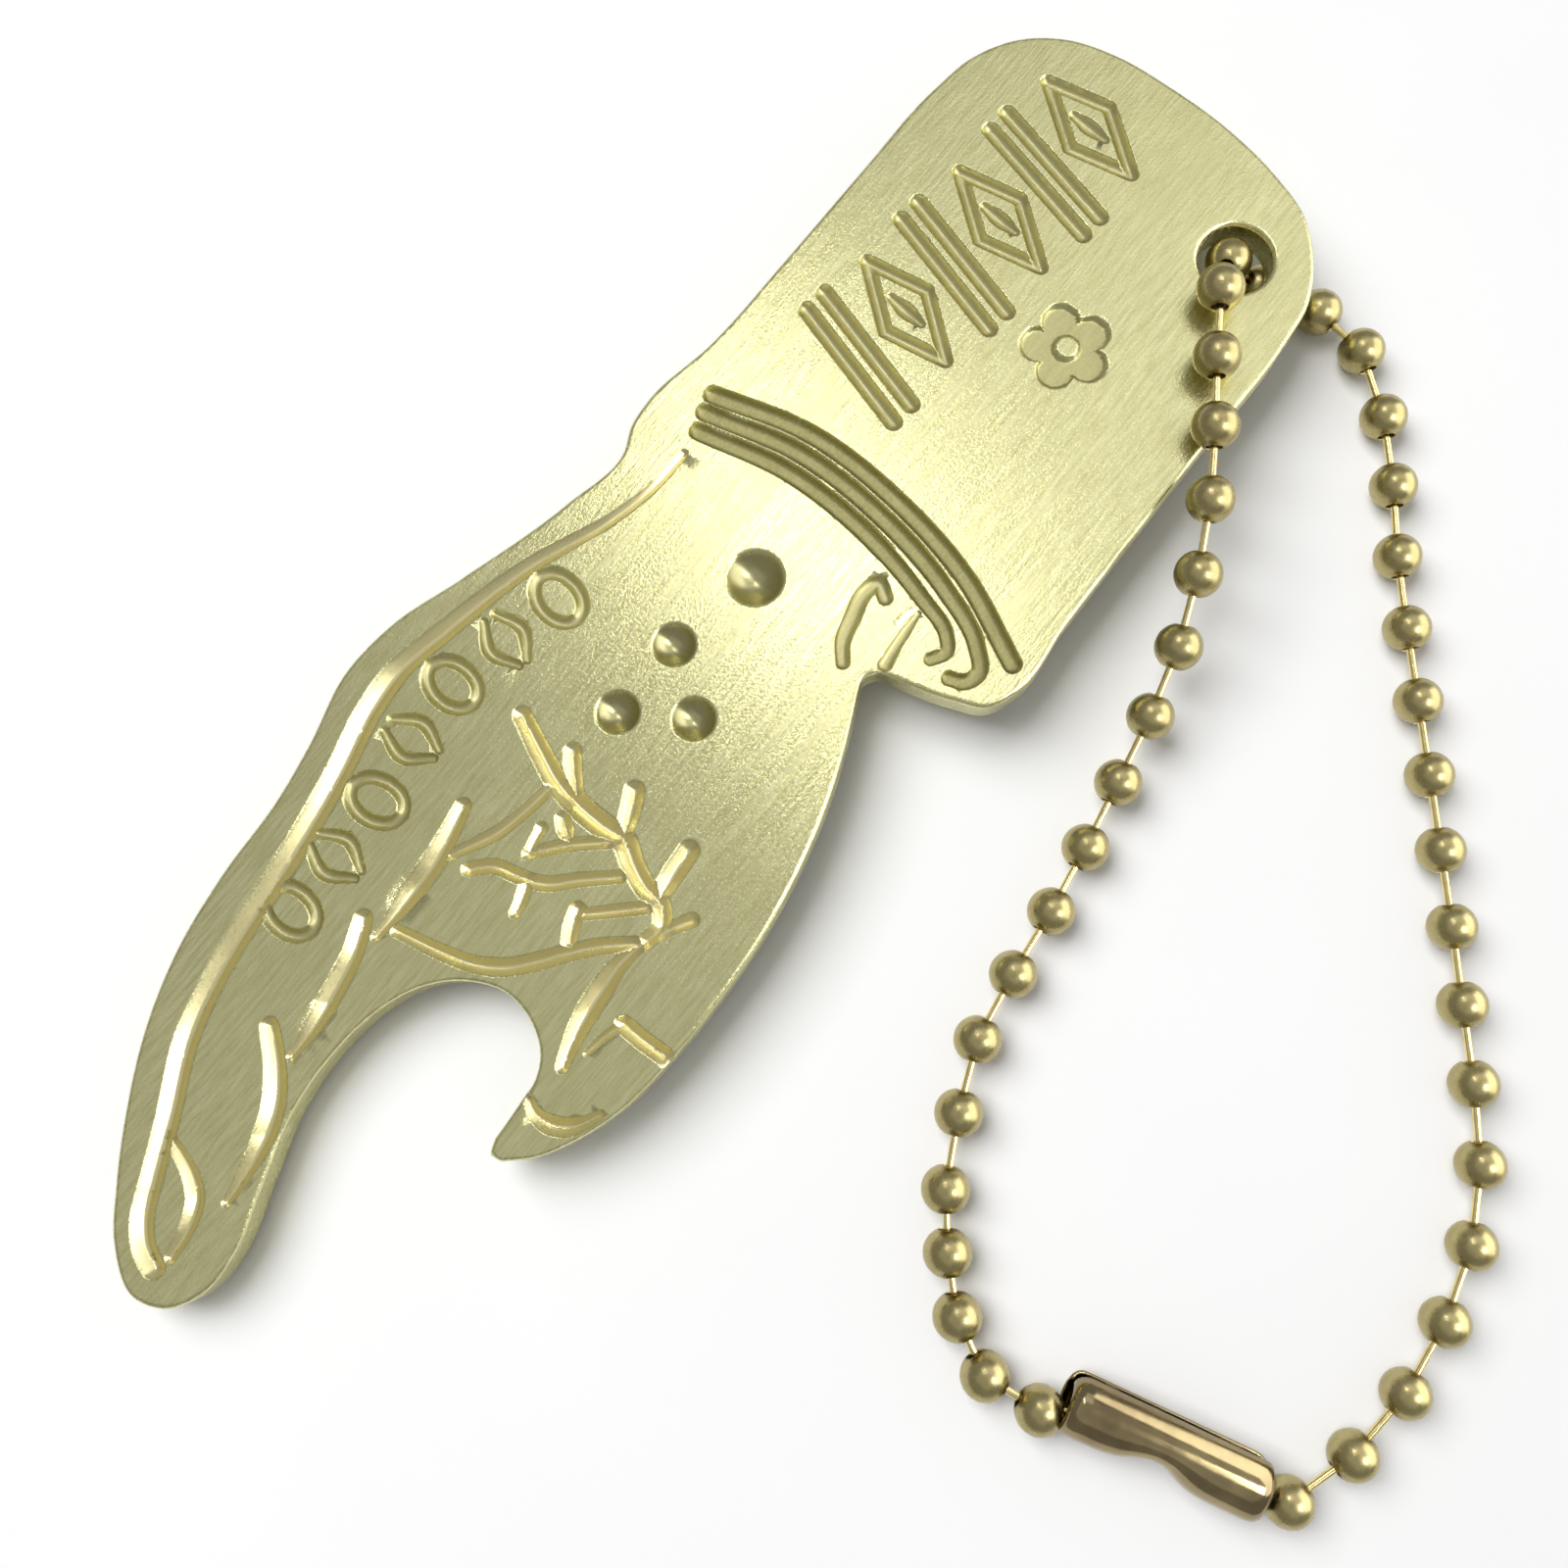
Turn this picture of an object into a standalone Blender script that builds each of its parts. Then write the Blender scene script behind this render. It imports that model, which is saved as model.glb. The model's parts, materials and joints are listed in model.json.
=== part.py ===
"""Keychain bottle opener: a flat brass plate cut as a pointing hand, on a closed loop of ball chain.

The plate lies on a table (z = 0), lifted at the cuff by the chain that passes under it. X runs from
the fingertip to the cuff, Y towards the knuckles, Z up. All lengths are in metres; the lists of
shape points are in millimetres, measured from the centre of the plate's hole.
"""

import math

import bmesh
import bpy
from mathutils import Matrix, Vector

MM = 0.001

# Plate
PLATE_THICKNESS = 2.0 * MM
PLATE_ROLL = math.radians(-3.2)        # the chain under the cuff lifts the mouth side
PLATE_PITCH = math.radians(-1.25)      # and the cuff end
EDGE_ROUNDING = 0.3 * MM
HOLE_RADIUS = 1.9 * MM
HOLE_CHAMFER = 0.15 * MM
GROOVE_RADIUS = 0.36 * MM
GROOVE_LIFT = 0.08 * MM                # height of a groove cutter's centre line over the face

# Ball chain
BEAD_RADIUS = 1.2 * MM
BEAD_WALL = 0.2 * MM
BEAD_HOLE_RADIUS = 0.4 * MM
BEAD_SIDES = 10
LINK_RADIUS = 0.2 * MM
LINK_HEAD_RADIUS = 0.45 * MM
LINK_HEAD_SET_BACK = 0.18 * MM         # from the next bead's centre to the middle of the head
LINK_SIDES = 8

# Clasp
CLASP_HALF_LENGTH = 4.75 * MM
CLASP_BEAD_OFFSET = 3.2 * MM           # from the clasp's middle to the bead in each cup
CLASP_RADIUS = 1.5 * MM
CLASP_WAIST_DEPTH = 0.85 * MM
CLASP_SHEET = 0.18 * MM
CLASP_SLOT_HALF_ANGLE = math.radians(34)
CLASP_END_RADIUS = 0.62 * MM
CLASP_END_DROP = 1.1 * MM              # the end holes reach this far towards the closed side

BRASS = (0.60, 0.55, 0.27)
CHAIN_GOLD = (0.70, 0.57, 0.25)
CLASP_GOLD = (0.74, 0.58, 0.26)

# The plate's outline, anticlockwise from the cuff's upper edge. Smooth through every point except
# where a run ends and the next begins, which is a corner.
OUTLINE_RUNS = [
    [  # cuff's knuckle-side edge, wrist, back of the hand, pointing finger, mouth
        (-7.7, 18.5), (-14.0, 18.5), (-20.0, 18.6), (-24.6, 19.2), (-26.1, 19.0), (-27.4, 18.4),
        (-31.4, 18.9), (-37.8, 20.6), (-41.8, 21.8), (-45.0, 22.0), (-49.3, 20.9), (-52.4, 20.3),
        (-56.3, 20.0), (-60.8, 19.2), (-64.6, 17.8), (-68.1, 15.8), (-71.0, 13.7), (-72.9, 12.0),
        (-74.1, 9.5), (-73.5, 8.0), (-71.6, 7.0), (-69.6, 7.1), (-66.4, 8.2), (-62.8, 9.4),
        (-59.8, 9.7), (-56.9, 9.4), (-54.6, 8.5), (-52.9, 6.9), (-52.1, 5.0), (-52.4, 3.1),
        (-53.3, 1.8), (-54.3, 1.25), (-55.6, 1.1), (-57.6, 0.95),
    ],
    [  # thumb tip
        (-57.6, 0.95), (-58.3, 0.6), (-58.2, 0.0),
    ],
    [  # outer side of the thumb, palm, wrist
        (-58.2, 0.0), (-57.1, -1.1), (-55.3, -2.1), (-52.9, -2.9), (-49.8, -3.25), (-45.7, -3.25),
        (-42.0, -2.95), (-38.9, -2.4), (-35.6, -1.5), (-32.5, -0.3), (-30.0, 0.9),
    ],
    [  # notch between wrist and cuff
        (-30.0, 0.9), (-29.2, 1.2), (-28.5, 0.8),
    ],
    [  # cuff's lower edge and corner, mouth-side edge, end
        (-28.5, 0.8), (-27.4, -2.9), (-26.6, -4.5), (-25.2, -5.15), (-20.9, -5.0), (-9.4, -4.8),
        (-2.3, -4.75), (0.2, -4.4), (2.5, -3.1), (4.1, -1.4), (5.1, 1.1), (5.8, 4.5), (6.0, 8.6),
        (5.8, 11.9), (5.0, 14.6), (3.5, 16.6), (1.3, 17.9), (-1.5, 18.4), (-7.7, 18.5),
    ],
]
OUTLINE_STEP = 0.9                     # mm between outline vertices, about

# Engraving that is deep enough to matter to a finger: four dimples and three cuff stripes.
DIMPLES = [(-28.5, 8.7, 1.45), (-33.7, 9.7, 1.1), (-38.1, 9.7, 1.1), (-36.0, 6.5, 1.1)]
DIMPLE_DEPTH = 0.45 * MM
CUFF_STRIPES = [
    [(-22.3, 16.9), (-20.8, 11.3), (-21.0, 5.4), (-22.1, 0.5), (-24.2, -4.1)],
    [(-23.5, 16.6), (-22.3, 12.0), (-22.2, 5.7), (-23.3, 0.8), (-24.6, -2.3)],
    [(-24.5, 16.1), (-23.4, 11.1), (-23.4, 6.0), (-24.4, 1.8), (-25.1, -0.5)],
]

# Bead centres along the chain: the strand over the face, then the strand under the plate.
FRONT_TAUT = [
    (-2.6, -0.3, 5.6), (-5.2, -2.0, 5.64), (-8.5, -4.3, 5.68), (-11.7, -6.5, 5.28),
    (-17.8, -9.8, 3.35), (-24.8, -11.8, 1.45), (-32.4, -13.2, 1.2), (-39.6, -14.2, 1.2),
    (-46.0, -17.3, 1.2),
]
FRONT_TAUT_COUNT = 14
FRONT_SLACK = [
    (-46.0, -17.3, 1.2), (-48.4, -19.3, 1.2), (-50.6, -21.8, 1.2), (-51.7, -24.5, 1.2),
    (-51.2, -27.0, 1.3), (-49.5, -29.3, 1.5),
]
FRONT_SLACK_COUNT = 6
HOLE_BEAD = (0.35, 0.45, 3.3)
BACK_START = [(1.4, -1.5, 1.2), (2.35, -4.85, 1.2)]
BACK_TAUT = [
    (2.0, -7.9, 1.2), (-0.4, -11.1, 1.2), (-6.5, -16.3, 1.2), (-14.9, -24.2, 1.2),
    (-23.4, -32.1, 1.2), (-29.1, -37.0, 1.2), (-32.6, -38.8, 1.2), (-36.2, -39.7, 1.2),
    (-43.6, -39.7, 1.2), (-47.1, -38.5, 1.3),
]
BACK_TAUT_COUNT = 17


def clear_scene():
    """Remove whatever objects the file holds."""
    for old in list(bpy.data.objects):
        bpy.data.objects.remove(old, do_unlink=True)


def metal(name, colour, roughness):
    """A plain metal with one colour."""
    material = bpy.data.materials.new(name)
    material.use_nodes = True
    shader = material.node_tree.nodes["Principled BSDF"]
    shader.inputs["Base Color"].default_value = (*colour, 1.0)
    shader.inputs["Metallic"].default_value = 1.0
    shader.inputs["Roughness"].default_value = roughness
    return material


def add_object(name, mesh, material=None, parent=None):
    """Put a mesh in the scene as a named object."""
    piece = bpy.data.objects.new(name, mesh)
    bpy.context.scene.collection.objects.link(piece)
    if material is not None:
        mesh.materials.append(material)
    piece.parent = parent
    return piece


def add_cutter(name, bm, parent):
    """A shape that is only used to cut its parent."""
    mesh = bpy.data.meshes.new(name)
    bm.to_mesh(mesh)
    bm.free()
    cutter = add_object(name, mesh, parent=parent)
    cutter.hide_render = True
    cutter.display_type = "WIRE"
    return cutter


def cut(piece, cutter):
    """Subtract a cutter with a Boolean modifier."""
    boolean = piece.modifiers.new(cutter.name, "BOOLEAN")
    boolean.operation = "DIFFERENCE"
    boolean.object = cutter


def curve_through(points, step):
    """Points about one step apart on a smooth open curve that passes through the given ones."""
    knots = [Vector(p) for p in points]
    knots = [2 * knots[0] - knots[1]] + knots + [2 * knots[-1] - knots[-2]]
    line = []
    for p0, p1, p2, p3 in zip(knots, knots[1:], knots[2:], knots[3:]):
        span = (p2 - p1).length
        parts = max(1, round(span / step))
        tangent1 = hermite_tangent(p0, p1, p2) * span
        tangent2 = hermite_tangent(p1, p2, p3) * span
        for i in range(parts):
            t = i / parts
            line.append(p1 * (2 * t**3 - 3 * t**2 + 1) + tangent1 * (t**3 - 2 * t**2 + t)
                        + p2 * (3 * t**2 - 2 * t**3) + tangent2 * (t**3 - t**2))
    line.append(knots[-2])
    return line


def hermite_tangent(before, at, after):
    """Direction of the curve at a point, weighted towards the nearer neighbour."""
    near = (at - before).length
    far = (after - at).length
    return ((at - before) / near * far + (after - at) / far * near) / (near + far)


def evenly_along(points, count):
    """A number of points spread evenly by length on the smooth curve through the given ones."""
    line = curve_through(points, 0.1)
    lengths = [0.0]
    for a, b in zip(line, line[1:]):
        lengths.append(lengths[-1] + (b - a).length)
    spread = []
    index = 0
    for k in range(count):
        target = lengths[-1] * k / (count - 1)
        while index < len(line) - 2 and lengths[index + 1] < target:
            index += 1
        share = (target - lengths[index]) / (lengths[index + 1] - lengths[index])
        spread.append(line[index].lerp(line[index + 1], min(share, 1.0)))
    return spread


def lathe(profile, sides):
    """Turn (along, radius) points about X; a profile end off the axis joins the other end."""
    bm = bmesh.new()
    verts = [bm.verts.new((along, radius, 0.0)) for along, radius in profile]
    for a, b in zip(verts, verts[1:]):
        bm.edges.new((a, b))
    if profile[0][1] > 0.0 and profile[-1][1] > 0.0:
        bm.edges.new((verts[-1], verts[0]))
    bmesh.ops.spin(bm, geom=bm.verts[:] + bm.edges[:], cent=(0, 0, 0), axis=(1, 0, 0),
                   angle=2 * math.pi, steps=sides, use_merge=True)
    bmesh.ops.remove_doubles(bm, verts=bm.verts[:], dist=1e-7)
    bmesh.ops.recalc_face_normals(bm, faces=bm.faces[:])
    return bm


def arc(centre, radius, start, end, steps):
    """(along, radius) points on an arc about a point of the X axis; angles in degrees from +X."""
    points = []
    for i in range(steps + 1):
        angle = math.radians(start + (end - start) * i / steps)
        points.append((centre + radius * math.cos(angle), max(0.0, radius * math.sin(angle))))
    return points


# ---------------------------------------------------------------- plate

def plate_outline():
    """Vertices of the plate's outline in its own plane."""
    outline = []
    for run in OUTLINE_RUNS:
        outline.extend(curve_through([(x, y, 0.0) for x, y in run], OUTLINE_STEP)[:-1])
    return [point * MM for point in outline]


def plate_blank():
    """The flat blank, back face at z = 0 and hole centre at x = y = 0."""
    bm = bmesh.new()
    face = bm.faces.new([bm.verts.new(point) for point in plate_outline()])
    raised = bmesh.ops.extrude_face_region(bm, geom=[face])
    top = [item for item in raised["geom"] if isinstance(item, bmesh.types.BMVert)]
    bmesh.ops.translate(bm, verts=top, vec=(0, 0, PLATE_THICKNESS))
    bmesh.ops.recalc_face_normals(bm, faces=bm.faces[:])
    mesh = bpy.data.meshes.new("opener_plate")
    bm.to_mesh(mesh)
    bm.free()
    return mesh


def hole_cutter():
    """A pin through the plate that also chamfers both rims of the hole."""
    reach = HOLE_RADIUS + HOLE_CHAMFER + 0.3 * MM
    rim = PLATE_THICKNESS - HOLE_CHAMFER
    profile = [
        (-0.3 * MM, 0.0), (-0.3 * MM, reach), (HOLE_CHAMFER, HOLE_RADIUS), (rim, HOLE_RADIUS),
        (PLATE_THICKNESS + 0.3 * MM, reach), (PLATE_THICKNESS + 0.3 * MM, 0.0),
    ]
    bm = lathe(profile, 40)
    bmesh.ops.rotate(bm, verts=bm.verts[:], cent=(0, 0, 0), matrix=Matrix.Rotation(-math.pi / 2, 3, "Y"))
    return bm


def dimple_cutter(x, y, radius):
    """A ball whose cap, of the dimple's radius and depth, reaches into the face."""
    ball = (radius**2 + DIMPLE_DEPTH**2) / (2 * DIMPLE_DEPTH)
    bm = bmesh.new()
    bmesh.ops.create_icosphere(bm, subdivisions=3, radius=ball)
    centre = Vector((x, y, PLATE_THICKNESS + ball - DIMPLE_DEPTH))
    bmesh.ops.translate(bm, verts=bm.verts[:], vec=centre)
    return bm


def groove_cutter(line):
    """A round bar swept along a line over the face, with closed ends."""
    bm = bmesh.new()
    sides = 8
    rings = []
    for i, point in enumerate(line):
        ahead = (line[min(i + 1, len(line) - 1)] - line[max(i - 1, 0)]).normalized()
        across = Vector((-ahead.y, ahead.x, 0.0))
        ring = []
        for k in range(sides):
            angle = 2 * math.pi * k / sides
            offset = across * math.cos(angle) + Vector((0, 0, math.sin(angle)))
            ring.append(bm.verts.new(point + offset * GROOVE_RADIUS))
        rings.append(ring)
    for near, far in zip(rings, rings[1:]):
        for k in range(sides):
            bm.faces.new((near[k], near[(k + 1) % sides], far[(k + 1) % sides], far[k]))
    bm.faces.new(rings[0])
    bm.faces.new(rings[-1])
    bmesh.ops.recalc_face_normals(bm, faces=bm.faces[:])
    return bm


def make_plate(parent, material):
    """The opener plate: blank, rounded edges, hole, dimples and cuff stripes."""
    plate = add_object("opener_plate", plate_blank(), material, parent)
    bevel = plate.modifiers.new("edge_rounding", "BEVEL")
    bevel.width = EDGE_ROUNDING
    bevel.segments = 2
    bevel.limit_method = "ANGLE"
    bevel.angle_limit = math.radians(60)
    cut(plate, add_cutter("cutter_hole", hole_cutter(), plate))
    for i, (x, y, radius) in enumerate(DIMPLES):
        bm = dimple_cutter(x * MM, y * MM, radius * MM)
        cut(plate, add_cutter(f"cutter_dimple_{i + 1}", bm, plate))
    height = (PLATE_THICKNESS + GROOVE_LIFT) / MM
    for i, points in enumerate(CUFF_STRIPES):
        stripe = curve_through([(x, y, height) for x, y in points], 1.6)
        bm = groove_cutter([point * MM for point in stripe])
        cut(plate, add_cutter(f"cutter_stripe_{i + 1}", bm, plate))
    plate.rotation_euler = (PLATE_ROLL, PLATE_PITCH, 0.0)
    seat_on_table(plate)
    return plate


def seat_on_table(piece):
    """Raise a tilted piece until its lowest point touches z = 0."""
    bpy.context.view_layer.update()
    evaluated = piece.evaluated_get(bpy.context.evaluated_depsgraph_get())
    lowest = min((evaluated.matrix_world @ v.co).z for v in evaluated.data.vertices)
    piece.location.z -= lowest


# ---------------------------------------------------------------- chain

def chain_beads():
    """(name, centre, name of the bead it hangs on) for each bead, hole bead first."""
    hole = Vector(HOLE_BEAD) * MM
    front = evenly_along(FRONT_TAUT, FRONT_TAUT_COUNT)
    front += evenly_along(FRONT_SLACK, FRONT_SLACK_COUNT)[1:]
    back = [Vector(point) for point in BACK_START]
    back += evenly_along(BACK_TAUT, BACK_TAUT_COUNT)
    back.append(front[-1] + clasp_direction(front[-1], back[-1]) * 2 * CLASP_BEAD_OFFSET / MM)
    beads = [("bead_hole", hole, None)]
    for strand, centres in (("front", front), ("back", back)):
        before = "bead_hole"
        for i, centre in enumerate(centres):
            centre.z = max(centre.z, BEAD_RADIUS / MM)
            name = f"{strand}_bead_{i + 1:02d}"
            beads.append((name, centre * MM, before))
            before = name
    return beads


def clasp_direction(front_end, back_end):
    """Level direction of the clasp, from the front strand's last bead to the back strand's."""
    along = back_end - front_end
    along.z = 0.0
    return along.normalized()


def shell_mesh():
    """A hollow ball with one link hole, on its +X side."""
    inner = BEAD_RADIUS - BEAD_WALL
    outer_edge = math.degrees(math.asin(BEAD_HOLE_RADIUS / BEAD_RADIUS))
    inner_edge = math.degrees(math.asin(BEAD_HOLE_RADIUS / inner))
    profile = arc(0.0, BEAD_RADIUS, 180.0, outer_edge, 6) + arc(0.0, inner, inner_edge, 180.0, 4)
    return lathe(profile, BEAD_SIDES)


def ball_mesh():
    """A solid ball."""
    return lathe(arc(0.0, BEAD_RADIUS, 180.0, 0.0, 7), BEAD_SIDES)


def link_mesh(reach):
    """A wire neck along +X from a bead's wall to a head inside the bead that is a reach away."""
    head = reach - LINK_HEAD_SET_BACK
    neck_edge = 180.0 - math.degrees(math.asin(LINK_RADIUS / LINK_HEAD_RADIUS))
    root = BEAD_RADIUS - BEAD_WALL / 2
    profile = [(root, 0.0), (root, LINK_RADIUS)] + arc(head, LINK_HEAD_RADIUS, neck_edge, 0.0, 3)
    return lathe(profile, LINK_SIDES)


def aimed(bm, direction):
    """Turn a shape made along +X to point along a direction."""
    turn = Vector((1, 0, 0)).rotation_difference(direction).to_matrix()
    bmesh.ops.rotate(bm, verts=bm.verts[:], cent=(0, 0, 0), matrix=turn)
    return bm


def add_link(bead, bm, name):
    """Join a link to its bead with a Boolean union."""
    link = add_cutter(name, bm, bead)
    union = bead.modifiers.new(name, "BOOLEAN")
    union.operation = "UNION"
    union.object = link


def make_bead(name, centre, pivot, toward_parent, links, material, parent):
    """One bead with its hole facing the bead it hangs on and a link to each bead that it carries.

    The object's origin is the pivot, which is where the bead turns on the link that holds it.
    """
    bm = ball_mesh() if toward_parent is None else aimed(shell_mesh(), toward_parent)
    bmesh.ops.translate(bm, verts=bm.verts[:], vec=centre - pivot)
    mesh = bpy.data.meshes.new(name)
    bm.to_mesh(mesh)
    bm.free()
    bead = add_object(name, mesh, material, parent)
    bead.location = pivot
    for i, offset in enumerate(links):
        bm = aimed(link_mesh(offset.length), offset)
        bmesh.ops.translate(bm, verts=bm.verts[:], vec=centre - pivot)
        add_link(bead, bm, f"link_{name}_{i + 1}")
    mesh.shade_smooth()
    mesh.set_sharp_from_angle(angle=math.radians(50))
    return bead


def bead_pivot(centre, toward_parent, plate):
    """The middle of the wall at the bead's link hole; for the first bead, the plate's hole centre."""
    if toward_parent is None:
        return plate.matrix_world @ Vector((0.0, 0.0, PLATE_THICKNESS / 2))
    return centre + toward_parent.normalized() * (BEAD_RADIUS - BEAD_WALL / 2)


def make_chain(plate, parent, material):
    """All beads. The two ends of the chain are held by the clasp, and the link that would run from
    the back strand's last free bead into the clasp is left out: the closed loop is opened there."""
    bpy.context.view_layer.update()
    beads = chain_beads()
    centres = {name: centre for name, centre, _ in beads}
    last_back = beads[-1][0]
    for name, centre, before in beads:
        toward = None if before is None else (centres[before] - centre)
        links = [c - centre for n, c, b in beads if b == name and n != last_back]
        pivot = bead_pivot(centre, toward, plate)
        make_bead(name, centre, pivot, toward, links, material, parent)
    return centres[f"front_bead_{FRONT_TAUT_COUNT + FRONT_SLACK_COUNT - 1:02d}"], centres[last_back]


# ---------------------------------------------------------------- clasp

def clasp_sheet():
    """The clasp's outer skin along X, its slot up (+Z): two cups with a waist between them."""
    stations = [-1.0, -0.985, -0.93, -0.84, -0.7, -0.5, -0.28, -0.12, 0.0]
    stations += [-s for s in reversed(stations[:-1])]
    around = 20
    bm = bmesh.new()
    grid = []
    for station in stations:
        row = []
        for k in range(around + 1):
            share = k / around
            angle = CLASP_SLOT_HALF_ANGLE + (2 * math.pi - 2 * CLASP_SLOT_HALF_ANGLE) * share
            row.append(bm.verts.new(clasp_point(station, angle)))
        grid.append(row)
    for near, far in zip(grid, grid[1:]):
        for k in range(around):
            bm.faces.new((near[k], near[k + 1], far[k + 1], far[k]))
    bmesh.ops.recalc_face_normals(bm, faces=bm.faces[:])
    return bm


def clasp_point(station, angle):
    """A point of the skin; station runs -1 to 1 along the clasp, angle 0 is the slot."""
    down = max(0.0, -math.cos(angle))
    waist = math.exp(-((station / 0.24) ** 2))
    radius = CLASP_RADIUS - (CLASP_RADIUS - CLASP_WAIST_DEPTH) * waist * down**1.5
    closing = max(0.0, (abs(station) - 0.84) / 0.16)
    end = CLASP_END_RADIUS + (CLASP_END_DROP - CLASP_END_RADIUS) * down**2
    radius += (end - radius) * (1.0 - math.sqrt(1.0 - min(1.0, closing) ** 2))
    return Vector((station * CLASP_HALF_LENGTH, radius * math.sin(angle), radius * math.cos(angle)))


def make_clasp(front_end, back_end, parent, material):
    """The folded sheet-metal clasp round the chain's two end beads, slot towards the plate."""
    mesh = bpy.data.meshes.new("chain_clasp")
    bm = clasp_sheet()
    bm.to_mesh(mesh)
    bm.free()
    clasp = add_object("chain_clasp", mesh, material, parent)
    sheet = clasp.modifiers.new("sheet", "SOLIDIFY")
    sheet.thickness = CLASP_SHEET
    sheet.offset = -1.0
    sheet.use_even_offset = True
    along = (back_end - front_end).normalized()
    slot = Vector((0, 0, 1)).cross(along)
    side = slot.cross(along)
    clasp.location = (front_end + back_end) / 2
    clasp.rotation_euler = Matrix((along, side, slot)).transposed().to_euler()
    mesh.shade_smooth()
    mesh.set_sharp_from_angle(angle=math.radians(50))
    return clasp


# ---------------------------------------------------------------- whole object

def centre_on_table(parent):
    """Shift everything so that the middle of the whole object's footprint is at x = y = 0."""
    bpy.context.view_layer.update()
    graph = bpy.context.evaluated_depsgraph_get()
    corners = []
    for piece in bpy.context.scene.objects:
        if piece.type == "MESH" and not piece.hide_render:
            shape = piece.evaluated_get(graph)
            corners.extend(shape.matrix_world @ v.co for v in shape.data.vertices)
    for axis in (0, 1):
        values = [corner[axis] for corner in corners]
        parent.location[axis] = -(min(values) + max(values)) / 2
    bpy.context.view_layer.update()


def build():
    """Model the whole opener."""
    clear_scene()
    opener = bpy.data.objects.new("opener", None)
    bpy.context.scene.collection.objects.link(opener)
    plate = make_plate(opener, metal("brushed_brass", BRASS, 0.38))
    front_end, back_end = make_chain(plate, opener, metal("chain_gold", CHAIN_GOLD, 0.18))
    make_clasp(front_end, back_end, opener, metal("clasp_gold", CLASP_GOLD, 0.12))
    centre_on_table(opener)


build()
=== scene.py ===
"""Looks of the keychain bottle opener: engraved brushed-brass plate, gold ball chain and clasp.

Shape lists are in millimetres in the plate's own plane, measured from the centre of its hole, with X
towards the cuff's end and Y towards the knuckles. Everything else is in metres in the row's frame.
"""

import json
import math

import bmesh
import bpy
import numpy as np
from mathutils import Matrix, Vector
from mathutils.geometry import delaunay_2d_cdt


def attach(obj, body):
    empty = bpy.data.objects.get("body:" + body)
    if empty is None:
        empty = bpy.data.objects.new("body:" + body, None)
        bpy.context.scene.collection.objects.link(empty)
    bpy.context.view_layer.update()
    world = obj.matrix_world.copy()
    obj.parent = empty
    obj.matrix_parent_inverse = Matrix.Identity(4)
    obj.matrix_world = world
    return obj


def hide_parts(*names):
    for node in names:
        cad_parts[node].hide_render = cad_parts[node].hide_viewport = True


MM = 0.001

# ---------------------------------------------------------------- driving sizes (mm)

EDGE_ROUND = 0.26                # rounding of the plate's front and back edges
HOLE_RADIUS = 1.9
HOLE_ROUND = 0.3
HOLE_SIDES = 64
OUTLINE_STEP = 0.28              # spacing of vertices along the outline

GROOVE_STEP = 0.17               # spacing of mesh rows along a groove
GROOVE_ROWS = (-1.12, -1.0, -0.9, -0.76, -0.52, -0.26, 0.0, 0.26, 0.52, 0.76, 0.9, 1.0, 1.12)
GROOVE_END_ROWS = (1.12, 1.0, 0.9, 0.75, 0.45)
DIMPLE_ROWS = (0.12, 0.24, 0.36, 0.48, 0.6, 0.72, 0.83, 0.92, 1.0, 1.07)
RIM_ROWS = (0.04, 0.09, 0.15, 0.21, 0.28)    # distances of mesh rows in from an edge
ROSETTE_GRID = 0.12
FRONT_GRID = 0.8                 # spacing of mesh points on the open faces
BACK_GRID = 1.6
MESH_GAP = 0.04                  # no two mesh points of a face are nearer than this
SLOPE_STEP = 0.015               # distance over which a face's slope is measured

BEAD_RADIUS = 1.2
BEAD_WALL = 0.2
BEAD_HOLE = 0.42                 # radius of the hole that the link passes through
LINK_RADIUS = 0.2
LINK_HEAD = 0.45
LINK_HEAD_SET_IN = 0.18          # from a bead's centre to the middle of the link head in it

CLASP_HALF = 5.05                # half its length
CLASP_RADIUS = 1.55
CLASP_SHEET = 0.16
CLASP_SLOT_HALF_ANGLE = 24       # degrees from the middle of its slot to each lip

# ---------------------------------------------------------------- the plate's outline (mm)

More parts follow.
